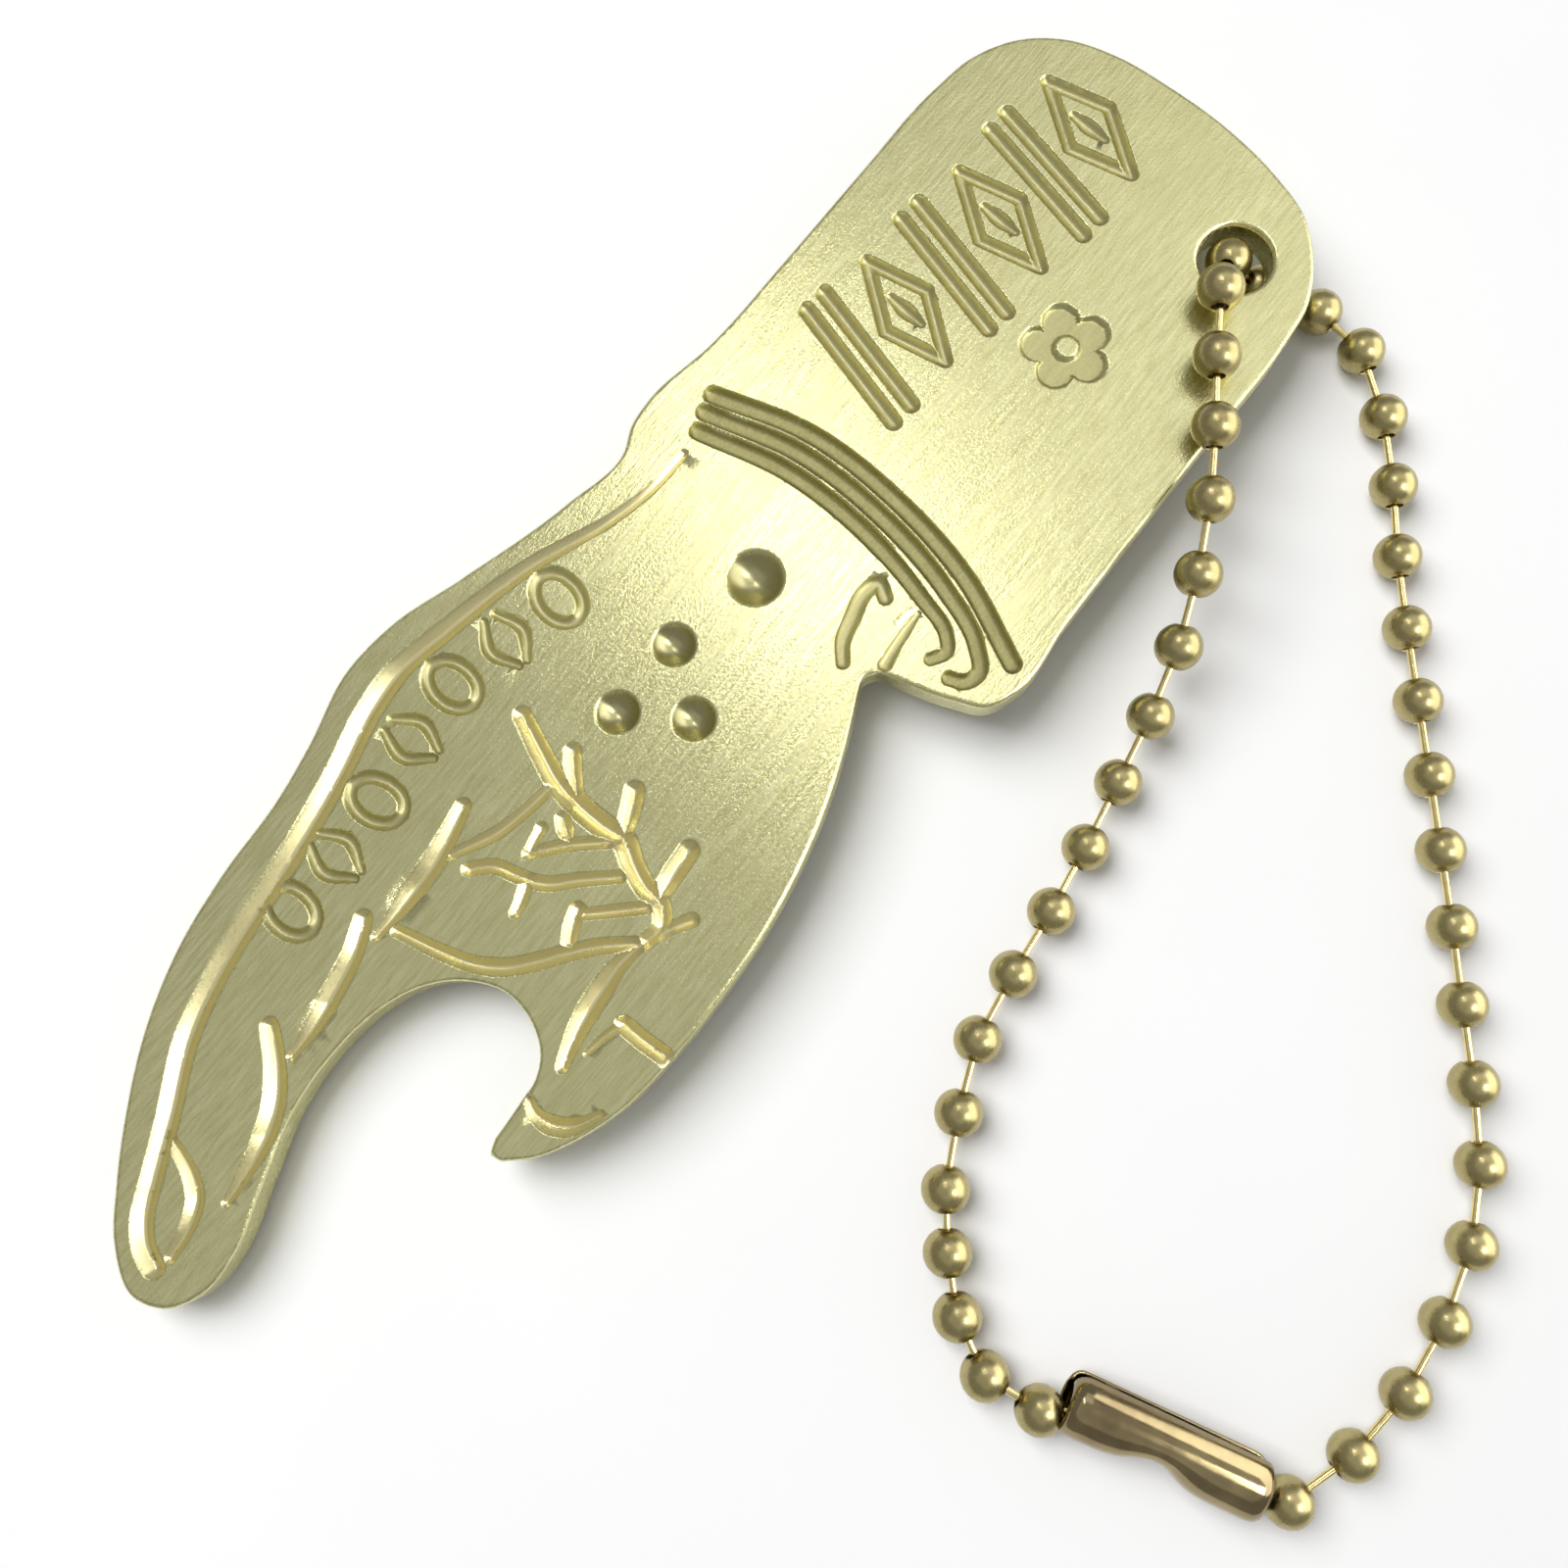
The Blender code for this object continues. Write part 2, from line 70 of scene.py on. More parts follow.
# Smooth through every point; a corner where one run ends and the next begins.
OUTLINE_RUNS = [
    [
        (-7.7, 18.5), (-14.0, 18.5), (-20.0, 18.6), (-24.6, 19.2), (-26.1, 19.0), (-27.4, 18.4),
        (-31.4, 18.9), (-37.8, 20.6), (-41.8, 21.8), (-45.0, 22.0), (-49.3, 20.9), (-52.4, 20.3),
        (-56.3, 20.0), (-60.8, 19.2), (-64.6, 17.8), (-68.1, 15.8), (-71.0, 13.7), (-72.9, 12.0),
        (-74.1, 9.5), (-73.5, 8.0), (-71.6, 7.0), (-69.6, 7.1), (-66.4, 8.2), (-62.8, 9.4),
        (-59.8, 9.7), (-56.9, 9.4), (-54.6, 8.5), (-52.9, 6.9), (-52.1, 5.0), (-52.4, 3.1),
        (-53.3, 1.8), (-54.3, 1.25), (-55.6, 1.1), (-57.6, 0.95),
    ],
    [(-57.6, 0.95), (-58.3, 0.6), (-58.2, 0.0)],
    [
        (-58.2, 0.0), (-57.1, -1.1), (-55.3, -2.1), (-52.9, -2.9), (-49.8, -3.25), (-45.7, -3.25),
        (-42.0, -2.95), (-38.9, -2.4), (-35.6, -1.5), (-32.5, -0.3), (-30.0, 0.9),
    ],
    [(-30.0, 0.9), (-29.2, 1.2), (-28.5, 0.8)],
    [
        (-28.5, 0.8), (-27.4, -2.9), (-26.6, -4.5), (-25.2, -5.15), (-20.9, -5.0), (-9.4, -4.8),
        (-2.3, -4.75), (0.2, -4.4), (2.5, -3.1), (4.1, -1.4), (5.1, 1.1), (5.8, 4.5), (6.0, 8.6),
        (5.8, 11.9), (5.0, 14.6), (3.5, 16.6), (1.3, 17.9), (-1.5, 18.4), (-7.7, 18.5),
    ],
]

# ---------------------------------------------------------------- the engraving (mm)

# Each groove: (widths at its start, middle and end; depth; cut; points). Smooth through its points,
# with round ends. A cut is how square its floor is, how dull it was left, and how bright it was cut;
# the bright cut's lighter colour is partly a painted highlight on its walls.
VEE_CUT = (1.12, 0.0, 1.0)
SQUARE_CUT = (4.5, 1.0, 0.0)
ORNAMENT_CUT = (2.2, 0.5, 0.4)
HAND_GROOVES = [
    # line along the back of the hand and the pointing finger, round the fingertip
    ((0.5, 1.4, 1.2), 0.59, VEE_CUT, [
        (-25.6, 15.8), (-27.9, 15.9), (-30.6, 16.5), (-35.1, 18.2), (-40.4, 19.4), (-43.5, 19.9),
        (-45.6, 19.7), (-49.5, 18.7), (-53.6, 17.9), (-57.0, 17.4), (-59.9, 16.9), (-63.6, 15.8),
        (-67.0, 13.9), (-69.7, 12.5), (-71.1, 11.7), (-72.1, 10.6), (-72.4, 9.7)]),
    # fingernail
    ((0.6, 0.95, 0.7), 0.4, VEE_CUT, [
        (-67.6, 13.2), (-67.8, 12.3), (-68.2, 11.2), (-68.8, 10.3), (-70.0, 9.7), (-71.6, 9.4)]),
    # underside of the finger and its creases
    ((1.0, 1.25, 0.5), 0.53, VEE_CUT, [
        (-60.6, 13.0), (-61.8, 11.5), (-63.2, 10.3), (-64.8, 9.6), (-66.6, 9.2), (-68.0, 9.0)]),
    ((1.0, 1.2, 0.5), 0.5, VEE_CUT, [
        (-53.8, 12.9), (-55.3, 12.2), (-57.3, 11.7), (-59.3, 11.3), (-61.0, 11.2)]),
    ((0.9, 1.3, 0.5), 0.55, VEE_CUT, [
        (-46.5, 12.7), (-48.1, 12.3), (-49.6, 12.0), (-51.2, 11.9), (-52.7, 11.8), (-54.1, 11.8)]),
    # palm round the mouth
    ((0.7, 0.95, 0.8), 0.4, VEE_CUT, [
        (-53.2, 11.2), (-52.6, 8.8), (-52.1, 7.3), (-51.3, 6.0), (-50.1, 4.9), (-48.7, 3.9),
        (-47.4, 2.8), (-46.3, 1.6)]),
    # thumb, its knuckle and its nail
    ((0.7, 1.25, 0.7), 0.53, VEE_CUT, [
        (-46.2, 1.4), (-47.5, 1.6), (-49.0, 1.5), (-50.5, 1.3), (-51.8, 1.0), (-53.0, 0.6)]),
    ((0.95, 0.95, 0.95), 0.4, VEE_CUT, [(-49.6, -0.4), (-49.6, -1.5), (-49.5, -2.9)]),
    ((0.6, 0.5, 0.3), 0.25, VEE_CUT, [(-49.6, -0.4), (-50.6, -0.1), (-51.8, 0.1)]),
    ((0.5, 1.0, 0.5), 0.42, VEE_CUT, [
        (-55.1, 1.0), (-55.5, 0.1), (-55.4, -0.7), (-54.8, -1.6), (-53.5, -2.3)]),
    # outline of the folded fingers
    ((1.0, 1.3, 0.9), 0.55, VEE_CUT, [
        (-41.2, 13.4), (-42.1, 11.3), (-42.7, 9.7), (-42.9, 8.1), (-42.9, 6.5), (-42.8, 5.4),
        (-43.4, 4.3), (-43.9, 3.1), (-44.1, 1.9), (-44.8, 1.2), (-45.9, 1.3)]),
    ((0.7, 0.75, 0.6), 0.32, VEE_CUT, [
        (-43.1, 9.9), (-44.7, 10.1), (-46.5, 10.5), (-47.8, 11.1), (-48.8, 11.6)]),
    # knuckle strokes outside it
    ((0.95, 0.95, 0.8), 0.4, VEE_CUT, [(-41.0, 10.2), (-41.8, 9.5), (-42.6, 8.6)]),
    ((1.1, 1.1, 0.9), 0.46, VEE_CUT, [(-40.6, 6.5), (-41.5, 6.0), (-42.5, 5.6)]),
    ((1.15, 1.15, 0.9), 0.48, VEE_CUT, [(-41.2, 2.5), (-42.3, 2.4), (-43.8, 2.2)]),
    ((0.8, 0.7, 0.6), 0.34, VEE_CUT, [(-43.7, 0.2), (-44.6, 0.7), (-45.7, 1.2)]),
    # folded fingers inside it
    ((0.7, 0.6, 0.6), 0.29, VEE_CUT, [(-44.9, 8.9), (-46.3, 8.6)]),
    ((0.65, 0.75, 0.7), 0.32, VEE_CUT, [(-46.3, 8.6), (-44.9, 7.5), (-43.3, 5.8)]),
    ((0.8, 0.9, 0.6), 0.38, VEE_CUT, [(-43.9, 8.4), (-44.5, 7.5)]),
    ((0.8, 0.8, 0.7), 0.34, VEE_CUT, [
        (-48.7, 10.4), (-47.8, 9.5), (-47.4, 8.2), (-46.9, 7.0), (-45.7, 5.8), (-44.3, 4.3)]),
    ((0.7, 0.75, 0.6), 0.32, VEE_CUT, [(-47.5, 7.7), (-48.1, 7.4), (-48.9, 7.2)]),
    ((0.6, 0.7, 0.7), 0.29, VEE_CUT, [(-46.8, 4.5), (-45.7, 3.4), (-44.6, 2.3)]),
    ((0.85, 0.9, 0.8), 0.38, VEE_CUT, [(-46.8, 4.9), (-47.6, 4.6), (-48.3, 4.2)]),
    # wrist marks and the cuff's three stripes
    ((0.75, 0.9, 0.8), 0.36, (3.0, 0.6, 0.3), [
        (-29.2, 2.5), (-28.5, 3.1), (-27.0, 3.6), (-25.6, 3.9), (-24.9, 3.7), (-25.3, 2.9)]),
    ((0.8, 0.6, 0.3), 0.32, (3.0, 0.5, 0.3), [(-28.0, 0.8), (-26.6, 1.0), (-24.9, 1.1)]),
    ((1.0, 1.0, 1.0), 0.42, SQUARE_CUT, [
        (-22.2, 16.7), (-20.8, 11.3), (-20.95, 5.4), (-22.0, 0.5), (-24.1, -4.1)]),
    ((1.0, 1.0, 0.8), 0.42, SQUARE_CUT, [
        (-23.2, 16.4), (-21.95, 11.1), (-22.1, 5.4), (-23.1, 0.9), (-24.5, -2.2), (-25.5, -3.1),
        (-26.2, -2.9), (-26.6, -2.1)]),
    ((1.0, 1.0, 0.7), 0.42, SQUARE_CUT, [
        (-24.2, 16.0), (-23.1, 10.9), (-23.25, 5.6), (-24.2, 1.4), (-24.9, -0.6), (-25.6, -1.2),
        (-26.4, -0.8)]),
]

# Dimples: x, y, radius, depth
DIMPLES = [
    (-28.5, 8.7, 1.5, 0.95), (-33.7, 9.7, 1.15, 0.75), (-38.1, 9.7, 1.15, 0.75),
    (-36.0, 6.5, 1.15, 0.75),
]

# Ornament bands in place of writing: along the hand, and across the cuff
HAND_BAND = [
    (-57.6, 16.0), (-53.5, 16.0), (-49.5, 16.2), (-46.0, 16.9), (-42.0, 17.2), (-38.0, 16.4),
    (-33.8, 15.6),
]
HAND_BAND_HEIGHT = 3.0
HAND_BAND_COUNT = 7
CUFF_BAND = [(-17.8, 12.2), (-12.0, 11.6), (-6.0, 11.0), (0.5, 10.5), (3.2, 10.3)]
CUFF_BAND_HEIGHT = 7.6
CUFF_BAND_COUNT = 6
ROSETTE = (-9.1, 3.9, 2.5, 0.3)          # x, y, radius, depth
ROSETTE_PETALS = 5


# ---------------------------------------------------------------- camera (metres; lens in mm)

CAMERA_PLACE = (-0.00973, 0.00415, 0.0699)
CAMERA_TARGET = (-0.00132, 0.01096, 0.0)
CAMERA_UP = (0.777, 0.629, 0.0)
CAMERA_LENS = 31.5


# ---------------------------------------------------------------- small helpers

def curve_through(points, step):
    """Points about one step apart on a smooth open curve that passes through the given ones."""
    knots = [np.array(p, float) for p in points]
    knots = [2 * knots[0] - knots[1]] + knots + [2 * knots[-1] - knots[-2]]
    line = []
    for p0, p1, p2, p3 in zip(knots, knots[1:], knots[2:], knots[3:]):
        span = np.linalg.norm(p2 - p1)
        parts = max(1, round(span / step))
        tangent1 = hermite_tangent(p0, p1, p2) * span
        tangent2 = hermite_tangent(p1, p2, p3) * span
        for i in range(parts):
            t = i / parts
            line.append(p1 * (2 * t**3 - 3 * t**2 + 1) + tangent1 * (t**3 - 2 * t**2 + t)
                        + p2 * (3 * t**2 - 2 * t**3) + tangent2 * (t**3 - t**2))
    line.append(knots[-2])
    return np.array(line)


def hermite_tangent(before, at, after):
    """Direction of the curve at a point, weighted towards the nearer neighbour."""
    near = np.linalg.norm(at - before)
    far = np.linalg.norm(after - at)
    return ((at - before) / near * far + (after - at) / far * near) / (near + far)


def nearest_on_line(points, line):
    """Distance from each point to a line of short segments."""
    best = np.full(len(points), 1e9)
    for a, b in zip(line, line[1:]):
        along = b - a
        length2 = max(float(along @ along), 1e-12)
        t = np.clip((points - a) @ along / length2, 0.0, 1.0)
        gap = points - a - t[:, None] * along
        best = np.minimum(best, np.hypot(gap[:, 0], gap[:, 1]))
    return best


def nearest_in_groove(points, line, halves):
    """How far across the groove each point is, and the half width there.

    Across runs from 0 on the groove's line to 1 at its edge and beyond.
    """
    best = np.full(len(points), 1.0)
    half = np.full(len(points), halves.max())
    for a, b, half_a, half_b in zip(line, line[1:], halves, halves[1:]):
        along = b - a
        t = np.clip((points - a) @ along / max(float(along @ along), 1e-12), 0.0, 1.0)
        gap = points - a - t[:, None] * along
        here = half_a + (half_b - half_a) * t
        across = np.hypot(gap[:, 0], gap[:, 1]) / here
        closer = across < best
        best[closer] = across[closer]
        half[closer] = here[closer]
    return best, half


def ramp(low, high, values):
    """Smooth step from 0 at low to 1 at high."""
    t = np.clip((values - low) / (high - low), 0.0, 1.0)
    return t * t * (3 - 2 * t)


def new_object(name, mesh, matrix=None):
    """Put a mesh in the scene, optionally placed by a matrix."""
    piece = bpy.data.objects.new(name, mesh)
    bpy.context.scene.collection.objects.link(piece)
    if matrix is not None:
        piece.matrix_world = matrix
    return piece


# ---------------------------------------------------------------- ornament

def hand_band_grooves():
    """A row of small upright motifs along the hand: a ring between two leaf strokes, in turn."""
    grooves = []
    line = curve_through(HAND_BAND, 0.1)
    for k in range(HAND_BAND_COUNT):
        place, along, up = station(line, (k + 0.5) / HAND_BAND_COUNT)
        half = HAND_BAND_HEIGHT / 2
        if k % 2 == 0:
            ring = [place + along * 1.05 * math.cos(a) + up * half * math.sin(a)
                    for a in np.linspace(0, 2 * math.pi, 13)]
            grooves.append(((0.75, 0.75, 0.75), 0.32, ORNAMENT_CUT, ring))
        else:
            for side in (-1, 1):
                leaf = [place + along * side * 0.25 - up * half, place + along * side * 1.0,
                        place + along * side * 0.35 + up * half]
                grooves.append(((0.5, 0.75, 0.5), 0.32, ORNAMENT_CUT, leaf))
    return grooves


def cuff_band_grooves():
    """Tall slanting bars across the cuff with lozenges between them."""
    grooves = []
    line = curve_through(CUFF_BAND, 0.1)
    half = CUFF_BAND_HEIGHT / 2
    for k in range(CUFF_BAND_COUNT):
        place, along, up = station(line, (k + 0.5) / CUFF_BAND_COUNT)
        slant = along * 0.18
        low = place - (up + slant) * half
        high = place + (up + slant) * half
        if k % 2 == 0:
            for side in (-0.65, 0.65):
                bar = [low + along * side, high + along * side]
                grooves.append(((0.95, 0.95, 0.95), 0.4, ORNAMENT_CUT, bar))
        else:
            bottom = low * 0.9 + place * 0.1
            top = high * 0.9 + place * 0.1
            right = place + along * 1.55
            left = place - along * 1.55
            for side in ([bottom, right], [right, top], [bottom, left], [left, top]):
                grooves.append(((0.8, 0.8, 0.8), 0.38, ORNAMENT_CUT, side))
            leaf = [place - up * 1.1, place, place + up * 1.1]
            grooves.append(((0.5, 0.9, 0.5), 0.36, ORNAMENT_CUT, leaf))
    return grooves


def station(line, share):
    """Place, direction and upward normal at a share of a line's length."""
    lengths = np.concatenate([[0.0], np.cumsum(np.linalg.norm(np.diff(line, axis=0), axis=1))])
    index = int(np.clip(np.searchsorted(lengths, share * lengths[-1]), 1, len(line) - 1))
    along = line[index] - line[index - 1]
    along = along / np.linalg.norm(along)
    return line[index], along, np.array([-along[1], along[0]])


# ---------------------------------------------------------------- the plate as a height map

class Plate:
    """The plate's outline, engraving and height in its own plane, in millimetres."""

    def __init__(self, thickness):
        self.thickness = thickness
        runs = [curve_through(run, OUTLINE_STEP)[:-1] for run in OUTLINE_RUNS]
        self.outline = np.concatenate(runs)
        turns = np.linspace(0, 2 * math.pi, HOLE_SIDES, endpoint=False)
        self.hole = np.stack([np.cos(turns), np.sin(turns)], 1) * HOLE_RADIUS
        self.grooves = []
        for widths, depth, cut, points in HAND_GROOVES + hand_band_grooves() + cuff_band_grooves():
            line = curve_through(points, 0.25)
            share = np.linspace(0, 1, len(line))
            start, middle, end = widths
            halves = np.interp(share, (0, 0.4, 0.6, 1), (start, middle, middle, end)) / 2
            self.grooves.append((halves, depth, cut, line))

    def edge_distance(self, points):
        """Distance of each point to the outline, and to the hole's rim."""
        closed = np.concatenate([self.outline, self.outline[:1]])
        outline = np.full(len(points), 1e9)
        for start in range(0, len(closed) - 1, 40):
            part = closed[start:start + 41]
            near = box_mask(points, part, 1.2)
            outline[near] = np.minimum(outline[near], nearest_on_line(points[near], part))
        return outline, np.hypot(points[:, 0], points[:, 1]) - HOLE_RADIUS

    def engraving(self, points):
        """Depth of the engraving, and three shares at each point: dull floor, bright cut with painted highlight,
        dimple with painted shade.
        """
        depth = np.zeros(len(points))
        finish_and_painted_light = np.zeros((len(points), 3))
        for halves, full, (square, dull, bright), line in self.grooves:
            near = np.flatnonzero(box_mask(points, line, halves.max()))
            t, half = nearest_in_groove(points[near], line, halves)
            cut = full * half / halves.max() * (1 - t**square)
            deeper = cut > depth[near]
            depth[near[deeper]] = cut[deeper]
            # The bright share later lightens the brass in the cut: a bright cut, partly a painted highlight.
            share = ramp(0.0, 0.3, 1 - t[deeper])[:, None]
            finish_and_painted_light[near[deeper]] = share * np.array([dull, bright, 0.0])
        for x, y, radius, full in DIMPLES:
            t = np.clip(np.hypot(points[:, 0] - x, points[:, 1] - y) / radius, 0, 1)
            depth = np.maximum(depth, full * (1 - t**2))
            # This dimple share later darkens the brass inside the dimple as painted shade.
            finish_and_painted_light[:, 2] = np.maximum(finish_and_painted_light[:, 2], ramp(0.0, 0.15, 1 - t))
        x, y, radius, full = ROSETTE
        away = points - np.array([x, y])
        turn = np.arctan2(away[:, 1], away[:, 0]) + 0.4
        petal = radius * (0.66 + 0.34 * np.abs(np.cos(ROSETTE_PETALS * turn / 2)) ** 0.7)
        reach = np.hypot(away[:, 0], away[:, 1])
        petals = ramp(0.0, 0.32, petal - reach) * ramp(0.5, 0.8, reach)
        finish_and_painted_light[:, 0] = np.maximum(finish_and_painted_light[:, 0], 0.6 * petals)
        return np.maximum(depth, full * petals), finish_and_painted_light

    def front(self, points):
        """Height of the front face."""
        outline, hole = self.edge_distance(points)
        height = self.thickness - rounding(outline, EDGE_ROUND) - rounding(hole, HOLE_ROUND)
        return height - self.engraving(points)[0]

    def back(self, points):
        """Height of the back face."""
        outline, hole = self.edge_distance(points)
        return rounding(outline, EDGE_ROUND) + rounding(hole, HOLE_ROUND)


def box_mask(points, line, margin):
    """Which points are inside a line's box grown by a margin."""
    low = line.min(0) - margin
    high = line.max(0) + margin
    return np.all((points > low) & (points < high), axis=1)


def rounding(distance, radius):
    """Drop of a rounded edge at a distance in from it."""
    inside = np.clip(radius - distance, 0, radius)
    return radius - np.sqrt(np.maximum(radius**2 - inside**2, 0.0))


def offset_rows(loop, distances):
    """Rows of points at set distances to the left of a closed loop."""
    ahead = np.roll(loop, -1, 0) - np.roll(loop, 1, 0)
    normal = np.stack([-ahead[:, 1], ahead[:, 0]], 1) / np.linalg.norm(ahead, axis=1)[:, None]
    return [(loop + normal * d, d) for d in distances]


def groove_rows(halves, line):
    """Points across and along one groove, with fans round its two ends."""
    fine = curve_through(line, GROOVE_STEP)
    local = np.interp(np.linspace(0, 1, len(fine)), np.linspace(0, 1, len(halves)), halves)[:, None]
    ahead = np.gradient(fine, axis=0)
    normal = np.stack([-ahead[:, 1], ahead[:, 0]], 1)
    normal /= np.maximum(np.linalg.norm(normal, axis=1), 1e-9)[:, None]
    rows = [fine + normal * local * share for share in GROOVE_ROWS]
    for end, half in ((fine[0], halves[0]), (fine[-1], halves[-1])):
        for share in GROOVE_END_ROWS:
            turns = np.linspace(0, 2 * math.pi, 16, endpoint=False)
            rows.append(end + np.stack([np.cos(turns), np.sin(turns)], 1) * half * share)
    return np.concatenate(rows)


def thinned(batches, gap):
    """All points of the batches, earlier ones first, leaving out any within a gap of one kept."""
    kept = {}
    result = []
    for batch in batches:
        for x, y in batch:
            cell = (math.floor(x / gap), math.floor(y / gap))
            if any((px - x) ** 2 + (py - y) ** 2 < gap * gap
                   for i in (-1, 0, 1) for j in (-1, 0, 1)
                   for px, py in kept.get((cell[0] + i, cell[1] + j), ())):
                continue
            kept.setdefault(cell, []).append((x, y))
            result.append((x, y))
    return np.array(result)


def inside_polygon(points, polygon):
    """Which points are inside a polygon."""
    result = np.zeros(len(points), bool)
    for (x1, y1), (x2, y2) in zip(polygon, np.roll(polygon, -1, 0)):
        crosses = (y1 > points[:, 1]) != (y2 > points[:, 1])
        with np.errstate(divide="ignore", invalid="ignore"):
            at = (x2 - x1) * (points[:, 1] - y1) / (y2 - y1) + x1
        result ^= crosses & (points[:, 0] < at)
    return result


def face_points(plate, engraved):
    """Mesh points of one face: edge rows, grooves, dimples, then an open grid."""
    batches = []
    edges = offset_rows(plate.outline, RIM_ROWS) + [
        (plate.hole * (HOLE_RADIUS + d) / HOLE_RADIUS, d) for d in RIM_ROWS]
    for row, distance in edges:
        outline, hole = plate.edge_distance(row)
        batches.append(row[np.minimum(outline, hole) > distance * 0.93])
    inner = []
    if engraved:
        for halves, _, _, line in plate.grooves:
            inner.append(groove_rows(halves, line))
        for x, y, radius, _ in DIMPLES:
            for share in DIMPLE_ROWS:
                turns = np.linspace(0, 2 * math.pi, max(8, int(40 * share)), endpoint=False)
                inner.append(np.stack([x + radius * share * np.cos(turns),
                                       y + radius * share * np.sin(turns)], 1))
        x, y, radius, _ = ROSETTE
        grid = np.arange(-radius - 0.3, radius + 0.3, ROSETTE_GRID)
        inner.append(np.array([(x + i, y + j) for i in grid for j in grid]))
    step = FRONT_GRID if engraved else BACK_GRID
    low = plate.outline.min(0)
    high = plate.outline.max(0)
    inner.append(np.array([(x, y) for x in np.arange(low[0], high[0], step)
                           for y in np.arange(low[1], high[1], step)]))
    for batch in inner:
        outline, hole = plate.edge_distance(batch)
        clear = np.minimum(outline, hole) > RIM_ROWS[-1] + MESH_GAP
        good = clear & inside_polygon(batch, plate.outline)
        batches.append(batch[good])
    return thinned(batches, MESH_GAP)


def face_triangles(plate, points):
    """Triangles between the outline, the hole and the points inside; returns (vertices, triangles)."""
    rim_count = len(plate.outline)
    hole_count = len(plate.hole)
    every = np.concatenate([plate.outline, plate.hole, points])
    edges = [(i, (i + 1) % rim_count) for i in range(rim_count)]
    edges += [(rim_count + i, rim_count + (i + 1) % hole_count) for i in range(hole_count)]
    found = delaunay_2d_cdt([Vector(p) for p in every], edges, [], 0, 1e-7, True)
    verts = np.array([tuple(v) for v in found[0]])
    source = {}
    for new, origins in enumerate(found[3]):
        for old in origins:
            source[old] = new
    tris = np.array([tuple(face) for face in found[2] if len(face) == 3])
    middle = verts[tris].mean(1)
    off_hole = np.hypot(middle[:, 0], middle[:, 1]) > HOLE_RADIUS * 0.995
    tris = tris[inside_polygon(middle, plate.outline) & off_hole]
    return verts, tris, [source[i] for i in range(rim_count)], [
        source[rim_count + i] for i in range(hole_count)]


def height_normals(height, flat, facing):
    """Normals of a height map at its points; facing is 1 for the front and -1 for the back."""
    step_x = np.array([SLOPE_STEP, 0.0])
    step_y = np.array([0.0, SLOPE_STEP])
    slope_x = (height(flat + step_x) - height(flat - step_x)) / (2 * SLOPE_STEP)
    slope_y = (height(flat + step_y) - height(flat - step_y)) / (2 * SLOPE_STEP)
    normals = np.stack([-slope_x, -slope_y, np.ones(len(flat))], 1) * facing
    return normals / np.linalg.norm(normals, axis=1)[:, None]


def loop_normals(loop):
    """Level normals to the right of a closed loop, which is outwards for an anticlockwise one."""
    ahead = np.roll(loop, -1, 0) - np.roll(loop, 1, 0)
    normals = np.stack([ahead[:, 1], -ahead[:, 0], np.zeros(len(loop))], 1)
    return normals / np.linalg.norm(normals, axis=1)[:, None]


def make_plate_mesh(plate):
    """The whole plate: engraved front, plain back, side wall and hole wall."""
    verts = []
    faces = []
    loops = []
    normals = []
    for front in (True, False):
        flat, tris, rim, hole = face_triangles(plate, face_points(plate, front))
        height = plate.front(flat) if front else plate.back(flat)
        for loop, drop in ((rim, EDGE_ROUND), (hole, HOLE_ROUND)):
            height[loop] = plate.thickness - drop if front else drop
        slopes = height_normals(plate.front if front else plate.back, flat, 1 if front else -1)
        slopes[rim] = loop_normals(flat[rim])
        slopes[hole] = -loop_normals(flat[hole])
        normals.append(slopes)
        start = len(verts)
        verts += [(x, y, z) for (x, y), z in zip(flat, height)]
        for a, b, c in tris:
            u = flat[b] - flat[a]
            v = flat[c] - flat[a]
            up = u[0] * v[1] - u[1] * v[0] > 0
            order = (a, b, c) if up == front else (a, c, b)
            faces.append(tuple(int(start + i) for i in order))
        loops.append(([start + i for i in rim], [start + i for i in hole]))
    for top, low in zip(loops[0], loops[1]):
        count = len(top)
        outward = top is loops[0][0]
        for i in range(count):
            j = (i + 1) % count
            quad = (top[i], low[i], low[j], top[j])
            faces.append(quad if outward else quad[::-1])
    mesh = bpy.data.meshes.new("plate_look")
    mesh.from_pydata([tuple(c * MM for c in v) for v in verts], [], faces)
    mesh.update()
    mesh.shade_smooth()
    mesh.normals_split_custom_set_from_vertices(np.concatenate(normals).tolist())
    coords = np.array(verts)
    finish_and_painted_light = np.zeros((len(verts), 3))
    is_front = coords[:, 2] > plate.thickness * 0.5
    finish_and_painted_light[is_front] = plate.engraving(coords[is_front, :2])[1]
    # Its three channels: dull floors, bright cuts with a painted highlight, dimples with painted shade.
    attribute = mesh.attributes.new("finish_and_painted_light", "FLOAT_VECTOR", "POINT")
    attribute.data.foreach_set("vector", finish_and_painted_light.astype(np.float32).ravel())
    layer = mesh.uv_layers.new(name="plane")
    index = np.zeros(len(mesh.loops), np.int32)
    mesh.loops.foreach_get("vertex_index", index)
    layer.data.foreach_set("uv", (coords[index, :2] * 0.01 + 0.5).astype(np.float32).ravel())
    return mesh


# ---------------------------------------------------------------- chain pieces

